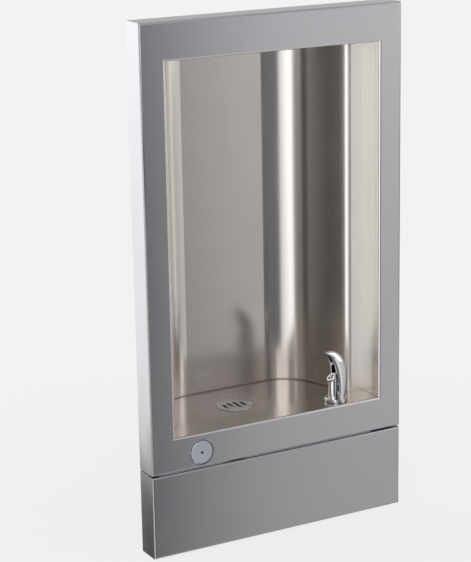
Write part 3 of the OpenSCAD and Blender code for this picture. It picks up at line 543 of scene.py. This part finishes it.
def thread(name, foot, way, look, slot):        # ridges of a thread, turned round an axis
    way = Vector(way)
    across = way.orthogonal().normalized()
    pitch, crest = look["pitch"], look["depth"]
    root = -threadForm["root"] * crest
    turns = round(look["length"] / pitch)
    profile = [(0, -crest)]
    for i in range(turns):
        profile += [(i * pitch, root), ((i + 0.5) * pitch, crest)]
    profile += [(turns * pitch, root), (turns * pitch, -crest)]
    shape = bmesh.new()
    verts = [shape.verts.new(foot + way * along + across * (look["radius"] + out)) for along, out in profile]
    edges = [shape.edges.new((verts[i], verts[(i + 1) % len(verts)])) for i in range(len(verts))]
    bmesh.ops.spin(shape, geom=verts + edges, cent=foot, axis=way, angle=2 * math.pi,
                   steps=threadForm["sides"], use_merge=True)
    newPiece(name, shape, "fountain", slot)


# Start: how far each thread begins before the end of its fitting or the foot of its nut
inletThread = {"start": 18.2 * mm, "length": 17 * mm, "radius": 10.4 * mm, "pitch": 1.8 * mm,
               "depth": 0.3 * mm}
shankThread = {"start": 9 * mm, "length": 8.4 * mm, "radius": 8.5 * mm, "pitch": 1.4 * mm,
               "depth": 0.25 * mm}
wasteThread = {"start": 11 * mm, "length": 9 * mm, "radius": 20.6 * mm, "pitch": 1.8 * mm,
               "depth": 0.3 * mm}

bubblerHood(hoodLook)
supplyTube(tubeLook)
valveSpring(springLook)
inletAt = middle("push_button")                 # the valve lies on the button's axis
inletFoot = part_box("inlet_fitting")[1][1] - inletThread["start"]
thread("inletThread", Vector((inletAt.x, inletFoot, inletAt.z)), (0, 1, 0), inletThread, "brass")
shankAt = middle("bubbler_locknut")
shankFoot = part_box("bubbler_locknut")[0][2] - shankThread["start"]
thread("shankThread", Vector((shankAt.x, shankAt.y, shankFoot)), (0, 0, 1), shankThread, "bubbler_chrome")
wasteAt = middle("waste_locknut")
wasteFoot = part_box("waste_locknut")[0][2] - wasteThread["start"]
thread("wasteThread", Vector((wasteAt.x, wasteAt.y, wasteFoot)), (0, 0, 1), wasteThread, "waste_steel")
report("pieces")

skyLook = {"background": (0.885, 0.885, 0.885), "ambient": (0.62, 0.62, 0.62), "plain": (0.55, 0.55, 0.56)}
# What polished metal sees round the object: degrees to the right of straight ahead, and the colour there
roomStops = [(-180, (0.85, 0.85, 0.86)), (-166, (0.95, 0.95, 0.97)), (-158, (1.6, 1.6, 1.62)),
             (-142, (1.6, 1.6, 1.62)), (-132, (0.95, 0.95, 0.97)), (-118, (0.80, 0.79, 0.79)),
             (-102, (0.78, 0.74, 0.71)), (-86, (0.64, 0.60, 0.57)), (-78, (0.90, 0.88, 0.86)),
             (-70, (1.75, 1.75, 1.75)), (-50, (1.75, 1.75, 1.76)), (-27, (1.05, 1.05, 1.07)),
             (-20, (0.24, 0.24, 0.25)), (-10, (0.19, 0.19, 0.20)), (8, (0.21, 0.21, 0.22)),
             (21, (0.15, 0.15, 0.16)), (25.8, (0.06, 0.06, 0.07)), (27.2, (0.53, 0.53, 0.55)),
             (29.5, (0.81, 0.80, 0.81)), (37, (0.83, 0.82, 0.83)), (44, (0.66, 0.65, 0.64)),
             (60, (0.60, 0.59, 0.57)), (78, (0.52, 0.51, 0.49)), (112, (0.60, 0.59, 0.57)),
             (135, (0.80, 0.80, 0.80)), (180, (0.85, 0.85, 0.86))]
# The room is seen at eye level only, a little lighter higher up and darker low down behind
roomLook = {"brightest": 1.8, "riseFrom": -0.45, "riseTo": 0.05, "rise": 0.38, "lowest": 0.76,
            "lowFrom": -0.325, "lowTo": -0.37, "behindFrom": 0.2, "behindTo": 0.16, "darker": 0.93,
            "topFrom": 0.08, "topTo": -0.04, "footFrom": -0.55, "footTo": -0.43}

world = bpy.data.worlds.new("studio")
scene.world = world
sky = Finish("studio", world)
rays = sky.add("ShaderNodeLightPath").socket.node.outputs
glossy = Signal(sky, rays["Is Glossy Ray"])
seen = (Signal(sky, rays["Is Camera Ray"]) + Signal(sky, rays["Is Transmission Ray"])).least(1.0)
sides = sky.add("ShaderNodeSeparateXYZ", {}, {0: sky.add("ShaderNodeTexCoord", output=0)}).socket.node.outputs
aheadX, aheadY, upward = [Signal(sky, sides[i]) for i in range(3)]
turn = aheadX.heading(aheadY * -1.0) / (2 * math.pi) + 0.5
brightest = roomLook["brightest"]               # a ramp holds nothing brighter than one
room = sky.ramp(turn, [(angle / 360 + 0.5, tuple(part / brightest for part in colour))
                       for angle, colour in roomStops])
rising = sky.smoothStep(upward, roomLook["riseFrom"], roomLook["riseTo"])
lift = rising * roomLook["rise"] + roomLook["lowest"]
low = sky.smoothStep(upward, roomLook["lowFrom"], roomLook["lowTo"])
behind = sky.smoothStep(turn, roomLook["behindFrom"], roomLook["behindTo"])
lift = lift * (1 - low * behind * roomLook["darker"])
room = sky.add("ShaderNodeVectorMath", {"operation": "SCALE"}, {0: room, "Scale": lift * brightest})
belowTop = sky.smoothStep(upward, roomLook["topFrom"], roomLook["topTo"])
aboveFoot = sky.smoothStep(upward, roomLook["footFrom"], roomLook["footTo"])
room = sky.between(belowTop * aboveFoot, skyLook["plain"], room)
tint = sky.between(seen, sky.between(glossy, skyLook["ambient"], room), skyLook["background"])
glow = sky.add("ShaderNodeBackground", {}, {"Color": tint, "Strength": 1.0})
sky.add("ShaderNodeOutputWorld", {}, {"Surface": glow})

lamps = {"keyBox": {"at": (-1.1, -2.4, 1.7), "size": (2.0, 2.0), "power": 30},
         "fillBox": {"at": (2.4, -1.6, 0.9), "size": (1.6, 2.0), "power": 14},
         "backBox": {"at": (-1.2, 2.2, 1.6), "size": (2.4, 2.4), "power": 18}}
for name, look in lamps.items():                # each faces the object
    lamp = bpy.data.lights.new(name, "AREA")
    lamp.shape = "RECTANGLE"
    lamp.size, lamp.size_y = look["size"]
    lamp.energy = look["power"]
    holder = bpy.data.objects.new(name, lamp)
    scene.collection.objects.link(holder)
    holder.location = look["at"]
    holder.rotation_euler = (Vector((0, 0, 0)) - Vector(look["at"])).to_track_quat("-Z", "Y").to_euler()

floorLook = {"height": -0.3955, "half": 1.6, "paint": (0.86, 0.86, 0.86), "fadeFrom": 0.45, "fadeTo": 1.0,
             "nearShare": 0.88, "fadeShare": 0.12}
floor = bmesh.new()
bmesh.ops.create_grid(floor, x_segments=1, y_segments=1, size=floorLook["half"])
bmesh.ops.translate(floor, verts=floor.verts, vec=(0, 0, floorLook["height"]))
floorMesh = bpy.data.meshes.new("studioFloor")
floor.to_mesh(floorMesh)
floor.free()
floorObject = bpy.data.objects.new("studioFloor", floorMesh)
scene.collection.objects.link(floorObject)
ground = Finish("studioFloor")
kinds = ground.add("ShaderNodeLightPath").socket.node.outputs
fromGloss = Signal(ground, kinds["Is Glossy Ray"])
direct = (Signal(ground, kinds["Is Camera Ray"]) + Signal(ground, kinds["Is Transmission Ray"])).least(1.0)
fromMiddle = ground.add("ShaderNodeVectorMath", {"operation": "LENGTH"}, {0: ground.place()}, output=1)
fade = ground.smoothStep(fromMiddle, floorLook["fadeFrom"], floorLook["fadeTo"])
glowing = direct * (fade * floorLook["fadeShare"] + floorLook["nearShare"])
paint = ground.add("ShaderNodeBsdfDiffuse", {}, {"Color": (*floorLook["paint"], 1)})
lit = ground.add("ShaderNodeEmission", {}, {"Color": (*skyLook["background"], 1), "Strength": 1.0})
mixed = ground.add("ShaderNodeMixShader", {}, {0: glowing, 1: paint, 2: lit})
clear = ground.add("ShaderNodeBsdfTransparent")
whole = ground.add("ShaderNodeMixShader", {}, {0: fromGloss, 1: mixed, 2: clear})
ground.add("ShaderNodeOutputMaterial", {}, {"Surface": whole})
floorMesh.materials.append(ground.owner)
report("studio")

shot = {"at": (-1.3145, -2.3019, 0.7023), "turn": (74.982, 1.016, -29.066), "lens": 118.14, "sensor": 36,
        "reach": 50}
cameraData = bpy.data.cameras.new("photoCamera")
cameraData.lens = shot["lens"]
cameraData.sensor_width = shot["sensor"]
cameraData.clip_end = shot["reach"]
camera = bpy.data.objects.new("photoCamera", cameraData)
scene.collection.objects.link(camera)
camera.location = shot["at"]
camera.rotation_euler = [math.radians(angle) for angle in shot["turn"]]
scene.camera = camera
scene.view_settings.view_transform = "Standard"

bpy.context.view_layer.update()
report("done")
